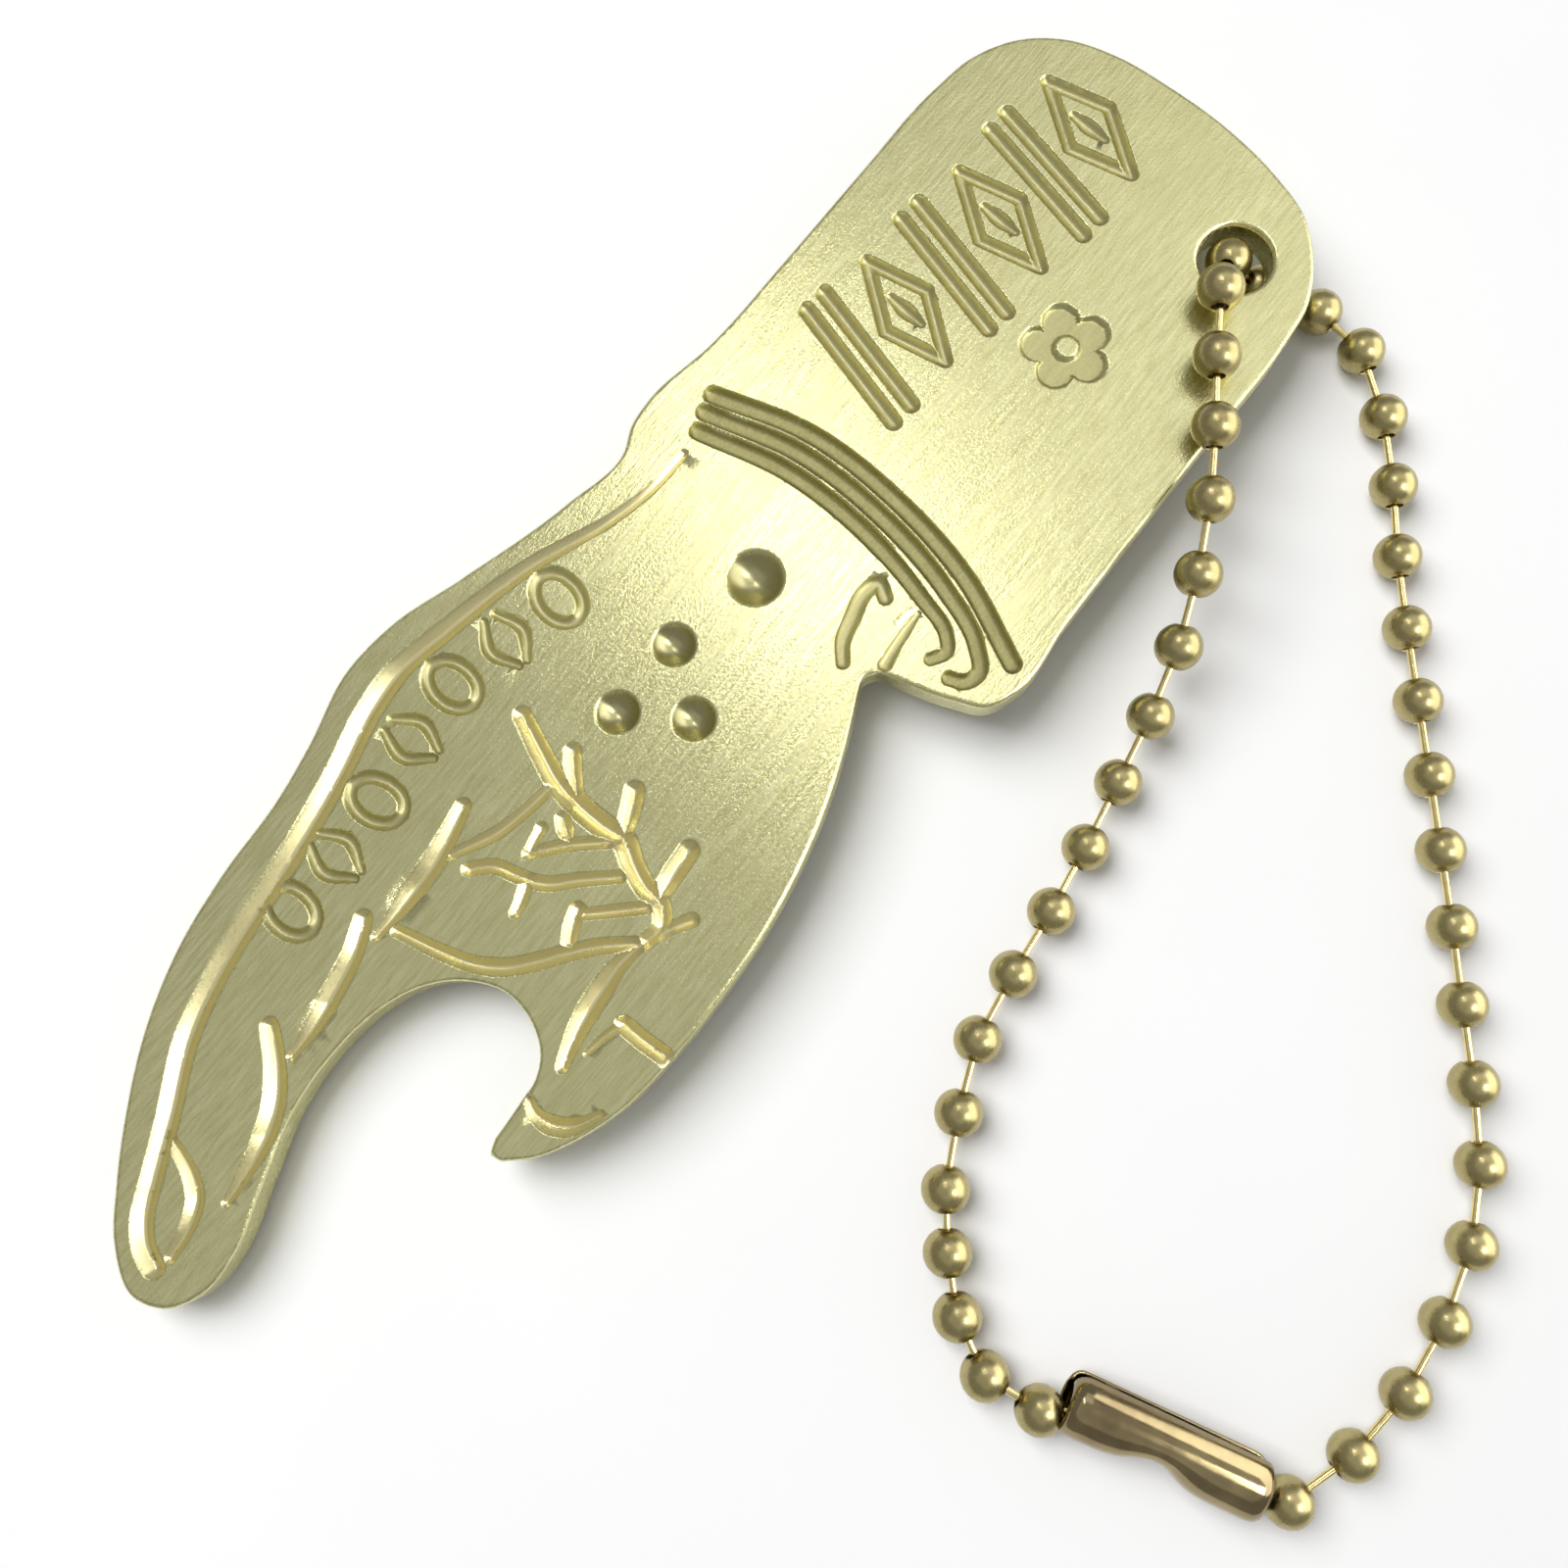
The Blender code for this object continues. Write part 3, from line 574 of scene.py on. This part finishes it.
def lathe(profile, sides):
    """Turn (along, radius) points about X; a profile whose ends are off the axis closes on itself."""
    bm = bmesh.new()
    verts = [bm.verts.new((along, radius, 0.0)) for along, radius in profile]
    for a, b in zip(verts, verts[1:]):
        bm.edges.new((a, b))
    if profile[0][1] > 1e-9 and profile[-1][1] > 1e-9:
        bm.edges.new((verts[-1], verts[0]))
    bmesh.ops.spin(bm, geom=bm.verts[:] + bm.edges[:], cent=(0, 0, 0), axis=(1, 0, 0),
                   angle=2 * math.pi, steps=sides, use_merge=True)
    bmesh.ops.remove_doubles(bm, verts=bm.verts[:], dist=1e-8)
    bmesh.ops.recalc_face_normals(bm, faces=bm.faces[:])
    return bm


def arc(centre, radius, start, end, steps):
    """(along, radius) points on an arc about a point of the X axis; angles in degrees from +X."""
    turns = np.radians(np.linspace(start, end, steps + 1))
    return [(centre + radius * math.cos(a), max(0.0, radius * math.sin(a))) for a in turns]


def bead_profile():
    """A thin ball with a hole at each pole, the holes' lips turned slightly inwards."""
    outer = BEAD_RADIUS * MM
    inner = (BEAD_RADIUS - BEAD_WALL) * MM
    hole = math.degrees(math.asin(BEAD_HOLE / BEAD_RADIUS))
    lip = (outer + inner) / 2 * math.cos(math.radians(hole))
    lip_radius = BEAD_HOLE * MM * 0.97
    profile = arc(0, outer, 180 - hole - 3, hole + 3, 22)
    roll = 0.07 * MM
    profile += [(lip + roll, lip_radius * 1.06), (lip, lip_radius), (lip - roll, lip_radius * 1.05)]
    profile += arc(0, inner, hole + 4, 180 - hole - 4, 10)
    profile += [(-lip + roll, lip_radius * 1.05), (-lip, lip_radius), (-lip - roll, lip_radius * 1.06)]
    return profile


def bent_bead(before, after):
    """A bead whose two holes face the bead before it and the bead after it (unit vectors from it)."""
    bm = lathe(bead_profile(), 36)
    axis = (after - before).normalized()
    side = axis.cross(after)
    bend = math.atan2(side.length, axis.dot(after))
    side = side.normalized() if side.length > 1e-6 else axis.orthogonal().normalized()
    turn = Vector((1, 0, 0)).rotation_difference(axis).to_matrix()
    for vert in bm.verts:
        share = vert.co.x / (BEAD_RADIUS * MM)
        vert.co = Matrix.Rotation(bend * share, 3, side) @ (turn @ vert.co)
    return bm


def link_profile(length):
    """A wire with a round head at each end; the heads sit just inside the two beads."""
    neck = math.degrees(math.asin(LINK_RADIUS / LINK_HEAD))
    head = LINK_HEAD_SET_IN * MM
    first = arc(head, LINK_HEAD * MM, 180, neck, 8)
    second = arc(length - head, LINK_HEAD * MM, 180 - neck, 0, 8)
    middle = (first[-1][0] + second[0][0]) / 2
    return first + [(middle, LINK_RADIUS * 0.94 * MM)] + second


def finish_mesh(bm, name, sharp=50):
    """Turn a bmesh into a smooth mesh."""
    mesh = bpy.data.meshes.new(name)
    bm.to_mesh(mesh)
    bm.free()
    mesh.shade_smooth()
    mesh.set_sharp_from_angle(angle=math.radians(sharp))
    return mesh


def ball_centre(node):
    """Centre of the ball in a bead's CAD mesh: where the inward normals of most of its faces meet."""
    faces = node.data.polygons
    meets = np.array([face.center - BEAD_RADIUS * MM * face.normal for face in faces])
    areas = np.array([face.area for face in faces])
    centre = []
    for values in meets.T:
        order = np.argsort(values)
        covered = np.cumsum(areas[order])
        centre.append(values[order][np.searchsorted(covered, covered[-1] / 2)])
    return Vector(centre)


def chain_order(nodes):
    """Bead name to (centre, bead before it), from the bead in the hole out along both strands."""
    order = {"bead_hole": (ball_centre(nodes["bead_hole"]), None)}
    for strand in ("front", "back"):
        before = "bead_hole"
        for name in sorted(node for node in nodes if node.startswith(strand + "_bead_")):
            order[name] = (ball_centre(nodes[name]), before)
            before = name
    return order


# ---------------------------------------------------------------- clasp

def clasp_skin(station_share, angle):
    """A point of the clasp's outer skin, in millimetres; share -1 to 1 along it, angle 0 is its slot."""
    down = max(0.0, -math.cos(angle))
    waist = math.exp(-(((station_share + 0.06) / 0.27) ** 2))
    radius = CLASP_RADIUS - 0.78 * waist * down**1.4
    closing = max(0.0, (abs(station_share) - 0.86) / 0.14)
    end = 0.95 + 0.35 * down**2
    if station_share > 0:
        end = 0.8 + 0.35 * down**2
    radius += (end - radius) * (1.0 - math.sqrt(max(0.0, 1.0 - min(1.0, closing) ** 2)))
    return Vector((station_share * CLASP_HALF, radius * math.sin(angle), radius * math.cos(angle)))


def clasp_mesh():
    """The folded sheet: two cups, a waist on the side away from the slot, and rolled ends."""
    slot = math.radians(CLASP_SLOT_HALF_ANGLE)
    shares = [-1.0, -0.995, -0.98, -0.955, -0.92, -0.88, -0.82, -0.74, -0.64, -0.54, -0.44, -0.36,
              -0.28, -0.2, -0.12, -0.05, 0.02, 0.09, 0.16, 0.24, 0.32, 0.4, 0.5, 0.6, 0.7, 0.79,
              0.86, 0.91, 0.95, 0.975, 0.99, 1.0]
    around = 44
    bm = bmesh.new()
    grid = []
    for share in shares:
        row = []
        for k in range(around + 1):
            angle = slot + (2 * math.pi - 2 * slot) * k / around
            row.append(bm.verts.new(clasp_skin(share, angle) * MM))
        grid.append(row)
    for near, far in zip(grid, grid[1:]):
        for k in range(around):
            bm.faces.new((near[k], near[k + 1], far[k + 1], far[k]))
    bmesh.ops.recalc_face_normals(bm, faces=bm.faces[:])
    return finish_mesh(bm, "clasp_look", 60)


# ---------------------------------------------------------------- materials

class Nodes:
    """Short calls for building one material's node tree."""

    def __init__(self, name):
        self.material = bpy.data.materials.new(name)
        self.material.use_nodes = True
        self.tree = self.material.node_tree
        self.shader = self.tree.nodes["Principled BSDF"]

    def add(self, kind, **settings):
        node = self.tree.nodes.new(kind)
        for key, value in settings.items():
            setattr(node, key, value)
        return node

    def join(self, output, target):
        self.tree.links.new(output, target)

    def coordinates(self, scale):
        """The piece's own coordinates, scaled."""
        place = self.add("ShaderNodeTexCoord")
        mapping = self.add("ShaderNodeMapping")
        mapping.inputs["Scale"].default_value = scale
        self.join(place.outputs["Object"], mapping.inputs["Vector"])
        return mapping.outputs["Vector"]

    def noise(self, vector, scale, detail=3.0, roughness=0.55):
        node = self.add("ShaderNodeTexNoise")
        node.inputs["Scale"].default_value = scale
        node.inputs["Detail"].default_value = detail
        node.inputs["Roughness"].default_value = roughness
        self.join(vector, node.inputs["Vector"])
        return node.outputs["Fac"]

    def levels(self, value, low, high, to_low=0.0, to_high=1.0):
        node = self.add("ShaderNodeMapRange")
        node.inputs["From Min"].default_value = low
        node.inputs["From Max"].default_value = high
        node.inputs["To Min"].default_value = to_low
        node.inputs["To Max"].default_value = to_high
        self.join(value, node.inputs["Value"])
        return node.outputs["Result"]

    def math(self, operation, a, b):
        node = self.add("ShaderNodeMath", operation=operation)
        for socket, value in zip(node.inputs, (a, b)):
            if isinstance(value, (int, float)):
                socket.default_value = value
            else:
                self.join(value, socket)
        return node.outputs["Value"]

    def mix(self, factor, a, b):
        node = self.add("ShaderNodeMix", data_type="RGBA")
        self.join(factor, node.inputs["Factor"])
        for socket, value in ((node.inputs[6], a), (node.inputs[7], b)):
            if isinstance(value, tuple):
                socket.default_value = (*value, 1.0)
            else:
                self.join(value, socket)
        return node.outputs[2]

    def bump(self, height, strength, distance):
        node = self.add("ShaderNodeBump")
        node.inputs["Strength"].default_value = strength
        node.inputs["Distance"].default_value = distance
        self.join(height, node.inputs["Height"])
        self.join(node.outputs["Normal"], self.shader.inputs["Normal"])


def brushed_brass():
    """Satin brass brushed along the hand, with fine sparkle, dull floors, bright cuts with a painted highlight and
    dimples with painted shade.
    """
    m = Nodes("brushed_brass_look")
    streaks = m.noise(m.coordinates((450, 5000, 5000)), 1.0, 4.0, 0.65)
    broad = m.noise(m.coordinates((60, 700, 700)), 1.0, 3.0, 0.6)
    grain = m.noise(m.coordinates((5000, 8000, 8000)), 1.0, 2.0, 0.7)
    cloud = m.noise(m.coordinates((90, 130, 130)), 1.0, 3.0, 0.5)
    finish_and_painted_light = m.add("ShaderNodeAttribute", attribute_name="finish_and_painted_light")
    split = m.add("ShaderNodeSeparateXYZ")
    m.join(finish_and_painted_light.outputs["Vector"], split.inputs["Vector"])
    dull, bright, drilled_and_shade = split.outputs
    face = m.mix(m.levels(streaks, 0.34, 0.66), (0.60, 0.57, 0.28), (0.80, 0.78, 0.44))
    face = m.mix(m.levels(cloud, 0.3, 0.7, 0.0, 0.4), face, (0.64, 0.61, 0.30))
    # Painted highlight: bright cuts get lighter brass in place of the light their walls catch; their own smoother
    # cut is in the bump below.
    face = m.mix(bright, face, (0.84, 0.76, 0.41))
    floor = m.mix(m.levels(grain, 0.3, 0.7), (0.36, 0.33, 0.15), (0.50, 0.47, 0.22))
    face = m.mix(dull, face, floor)
    # Painted shade: the dimples get darker brass in place of the shade in their hollows.
    m.join(m.mix(drilled_and_shade, face, (0.46, 0.43, 0.22)), m.shader.inputs["Base Color"])
    rough = m.math("ADD", m.levels(broad, 0.3, 0.7, 0.22, 0.31), m.levels(grain, 0.3, 0.7, -0.04, 0.04))
    rough = m.math("ADD", rough, m.math("MULTIPLY", dull, 0.32))
    rough = m.math("ADD", rough, m.math("MULTIPLY", m.math("MAXIMUM", drilled_and_shade, bright), 0.05))
    m.join(rough, m.shader.inputs["Roughness"])
    m.shader.inputs["Metallic"].default_value = 1.0
    m.shader.inputs["Anisotropic"].default_value = 0.65
    m.shader.inputs["Anisotropic Rotation"].default_value = 0.25
    tangent = m.add("ShaderNodeTangent", direction_type="UV_MAP", uv_map="plane")
    m.join(tangent.outputs["Tangent"], m.shader.inputs["Tangent"])
    height = m.math("ADD", m.math("MULTIPLY", streaks, 0.7), m.math("MULTIPLY", grain, 0.6))
    smooth = m.math("MAXIMUM", drilled_and_shade, m.math("MULTIPLY", bright, 0.9))
    height = m.math("MULTIPLY", height, m.math("SUBTRACT", 1.0, smooth))
    m.bump(height, 0.7, 0.00004)
    return m.material


def polished_gold(name, light, dark, roughness, scale):
    """Electroplated gold over brass: bright, with faint clouding and fine handling marks; darker colours passed in
    paint shade.
    """
    m = Nodes(name)
    cloud = m.noise(m.coordinates((scale, scale, scale)), 1.0, 3.0, 0.55)
    marks = m.noise(m.coordinates((scale * 3, scale * 9, scale * 9)), 1.0, 4.0, 0.65)
    m.join(m.mix(m.levels(cloud, 0.35, 0.65), dark, light), m.shader.inputs["Base Color"])
    m.join(m.levels(marks, 0.3, 0.7, roughness * 0.8, roughness * 1.3), m.shader.inputs["Roughness"])
    m.shader.inputs["Metallic"].default_value = 1.0
    m.bump(marks, 0.25, 0.00001)
    return m.material


def table_paint():
    """Plain pale table."""
    m = Nodes("table_paint")
    grain = m.noise(m.coordinates((40, 40, 40)), 1.0, 2.0, 0.5)
    m.join(m.mix(m.levels(grain, 0.3, 0.7), (0.90, 0.90, 0.90), (0.92, 0.92, 0.92)),
           m.shader.inputs["Base Color"])
    m.shader.inputs["Roughness"].default_value = 0.9
    m.shader.inputs["Specular IOR Level"].default_value = 0.1
    return m.material


# ---------------------------------------------------------------- light and camera

def area_light(name, place, target, size, power, tall=None):
    """A soft white rectangular light aimed at a point; it is square unless tall is given."""
    light = bpy.data.lights.new(name, "AREA")
    light.shape = "RECTANGLE"
    light.size = size
    light.size_y = tall or size
    light.energy = power
    lamp = bpy.data.objects.new(name, light)
    bpy.context.scene.collection.objects.link(lamp)
    lamp.location = place
    lamp.rotation_euler = (Vector(place) - Vector(target)).to_track_quat("Z", "Y").to_euler()
    lamp.visible_camera = False
    return lamp


def panel(*args, **settings):
    """A light that only shows as a reflection in the metal."""
    lamp = area_light(*args, **settings)
    lamp.visible_diffuse = False
    return lamp


def make_camera():
    """Close above the table, looking almost straight down."""
    data = bpy.data.cameras.new("camera")
    data.lens = CAMERA_LENS
    data.sensor_width = 36.0
    data.clip_start = 0.005
    camera = bpy.data.objects.new("camera", data)
    bpy.context.scene.collection.objects.link(camera)
    place = Vector(CAMERA_PLACE)
    back = (place - Vector(CAMERA_TARGET)).normalized()
    right = Vector(CAMERA_UP).cross(back).normalized()
    up = back.cross(right)
    turn = Matrix((right, up, back)).transposed().to_4x4()
    camera.matrix_world = Matrix.Translation(place) @ turn
    bpy.context.scene.camera = camera


def make_world(overhead, sides):
    """Pale surroundings, dimmer straight overhead."""
    world = bpy.data.worlds.new("studio")
    bpy.context.scene.world = world
    world.use_nodes = True
    tree = world.node_tree
    background = tree.nodes["Background"]
    place = tree.nodes.new("ShaderNodeTexCoord")
    split = tree.nodes.new("ShaderNodeSeparateXYZ")
    ramp_node = tree.nodes.new("ShaderNodeMapRange")
    ramp_node.interpolation_type = "SMOOTHSTEP"
    ramp_node.inputs["From Min"].default_value = 0.98
    ramp_node.inputs["From Max"].default_value = 0.72
    ramp_node.inputs["To Min"].default_value = overhead
    ramp_node.inputs["To Max"].default_value = sides
    tree.links.new(place.outputs["Generated"], split.inputs["Vector"])
    tree.links.new(split.outputs["Z"], ramp_node.inputs["Value"])
    tree.links.new(ramp_node.outputs["Result"], background.inputs["Strength"])
    background.inputs["Color"].default_value = (1.0, 1.0, 1.0, 1.0)


# ---------------------------------------------------------------- put together

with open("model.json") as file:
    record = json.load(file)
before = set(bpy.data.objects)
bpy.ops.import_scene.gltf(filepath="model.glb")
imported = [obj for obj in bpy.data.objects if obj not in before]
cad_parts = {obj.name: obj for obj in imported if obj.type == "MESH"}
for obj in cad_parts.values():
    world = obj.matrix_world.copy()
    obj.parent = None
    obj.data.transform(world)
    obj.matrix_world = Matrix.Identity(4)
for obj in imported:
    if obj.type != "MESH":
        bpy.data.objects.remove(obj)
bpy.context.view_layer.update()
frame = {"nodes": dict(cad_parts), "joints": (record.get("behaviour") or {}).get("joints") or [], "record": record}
joints = {joint["name"]: joint for joint in frame["joints"]}
mounts = {mount["name"]: mount for mount in frame["record"]["mounts"]}

normal = Vector(joints["loop_swing"]["axis"]).normalized()
thickness = (Vector(mounts["front_face"]["pos_m"]) - Vector(mounts["back_face"]["pos_m"])).length
hole = Vector(joints["loop_swing"]["pos_m"]) - normal * thickness / 2
along = Vector((0, 1, 0)).cross(normal).normalized()
across = normal.cross(along)
plate_frame = Matrix((along, across, normal)).transposed().to_4x4()
plate_frame.translation = hole

plate_mesh = make_plate_mesh(Plate(thickness / MM))
plate_mesh.materials.append(brushed_brass())
plate_look = new_object("plate_look", plate_mesh, plate_frame)
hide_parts("opener_plate")
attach(plate_look, "plate")

# The bead and clasp golds are darkened far below the link gold: painted shade in place of the dim surroundings
# that their polished metal reflects.
shaded_chain_gold = polished_gold("chain_gold_look", (0.48, 0.41, 0.2), (0.38, 0.32, 0.14), 0.29, 900)
link_gold = polished_gold("link_gold_look", (0.86, 0.72, 0.34), (0.74, 0.6, 0.26), 0.2, 1500)
shaded_clasp_gold = polished_gold("clasp_gold_look", (0.36, 0.29, 0.15), (0.25, 0.19, 0.1), 0.13, 400)

centres = chain_order(frame["nodes"])
bodies = frame["record"]["behaviour"]["bodies"]
body_of = {node: body for body, nodes in bodies.items() for node in nodes}
front_end = [name for name in centres if name.startswith("front")][-1]
back_end = [name for name in centres if name.startswith("back")][-1]
clasp_axis = (centres[back_end][0] - centres[front_end][0]).normalized()
clasp_middle = (centres[back_end][0] + centres[front_end][0]) / 2

for name, (centre, parent) in centres.items():
    body = body_of[name]
    children = [child for child, (_, before) in centres.items() if before == name]
    toward = [(centres[child][0] - centre).normalized() for child in children]
    if parent is None:
        before, after = toward
    else:
        before = (centres[parent][0] - centre).normalized()
        after = toward[0] if toward else -before
    mesh = finish_mesh(bent_bead(before, after), name + "_look")
    mesh.materials.append(shaded_chain_gold)
    bead = new_object(name + "_look", mesh, Matrix.Translation(centre))
    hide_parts(name)
    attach(bead, body)
    for child in children:
        span = centres[child][0] - centre
        mesh = finish_mesh(lathe(link_profile(span.length), 20), "link_to_" + child)
        mesh.materials.append(link_gold)
        turn = Vector((1, 0, 0)).rotation_difference(span).to_matrix().to_4x4()
        link = new_object("link_to_" + child, mesh, Matrix.Translation(centre) @ turn)
        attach(link, body)

slot_side = Vector((0, 0, 1)).cross(clasp_axis).normalized()
clasp_frame = Matrix((clasp_axis, slot_side.cross(clasp_axis), slot_side)).transposed().to_4x4()
clasp_frame.translation = clasp_middle
clasp = new_object("clasp_look", clasp_mesh(), clasp_frame)
clasp.data.materials.append(shaded_clasp_gold)
sheet = clasp.modifiers.new("sheet", "SOLIDIFY")
sheet.thickness = CLASP_SHEET * MM
sheet.offset = -1.0
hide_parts("chain_clasp")
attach(clasp, body_of["chain_clasp"])

bm = bmesh.new()
bmesh.ops.create_grid(bm, x_segments=1, y_segments=1, size=1.2)
table = new_object("table", finish_mesh(bm, "table"))
table.data.materials.append(table_paint())

make_world(0.26, 0.34)
key = area_light("key", (-0.04, 0.6, 0.8), (0, 0, 0), 0.76, 11.2)
key.visible_glossy = False
panel("ceiling", (0.0, 0.0, 0.25), (0, 0, 0), 0.42, 0.155)
panel("cuff_fill", (0.14, 0.03, 0.18), (0.03, 0.01, 0), 0.13, 0.03)
panel("window", (0.15, -0.145, 0.09), (0, 0, 0), 0.3, 0.45, tall=0.18)
panel("band", (0.044, 0.065, 0.15), (0.009, 0.018, 0.0), 0.013, 0.029, tall=0.06)
panel("spark", (0.035, -0.11, 0.15), (0.0, 0.0, 0.0), 0.06, 0.11)
make_camera()
bpy.context.scene.view_settings.view_transform = "Standard"
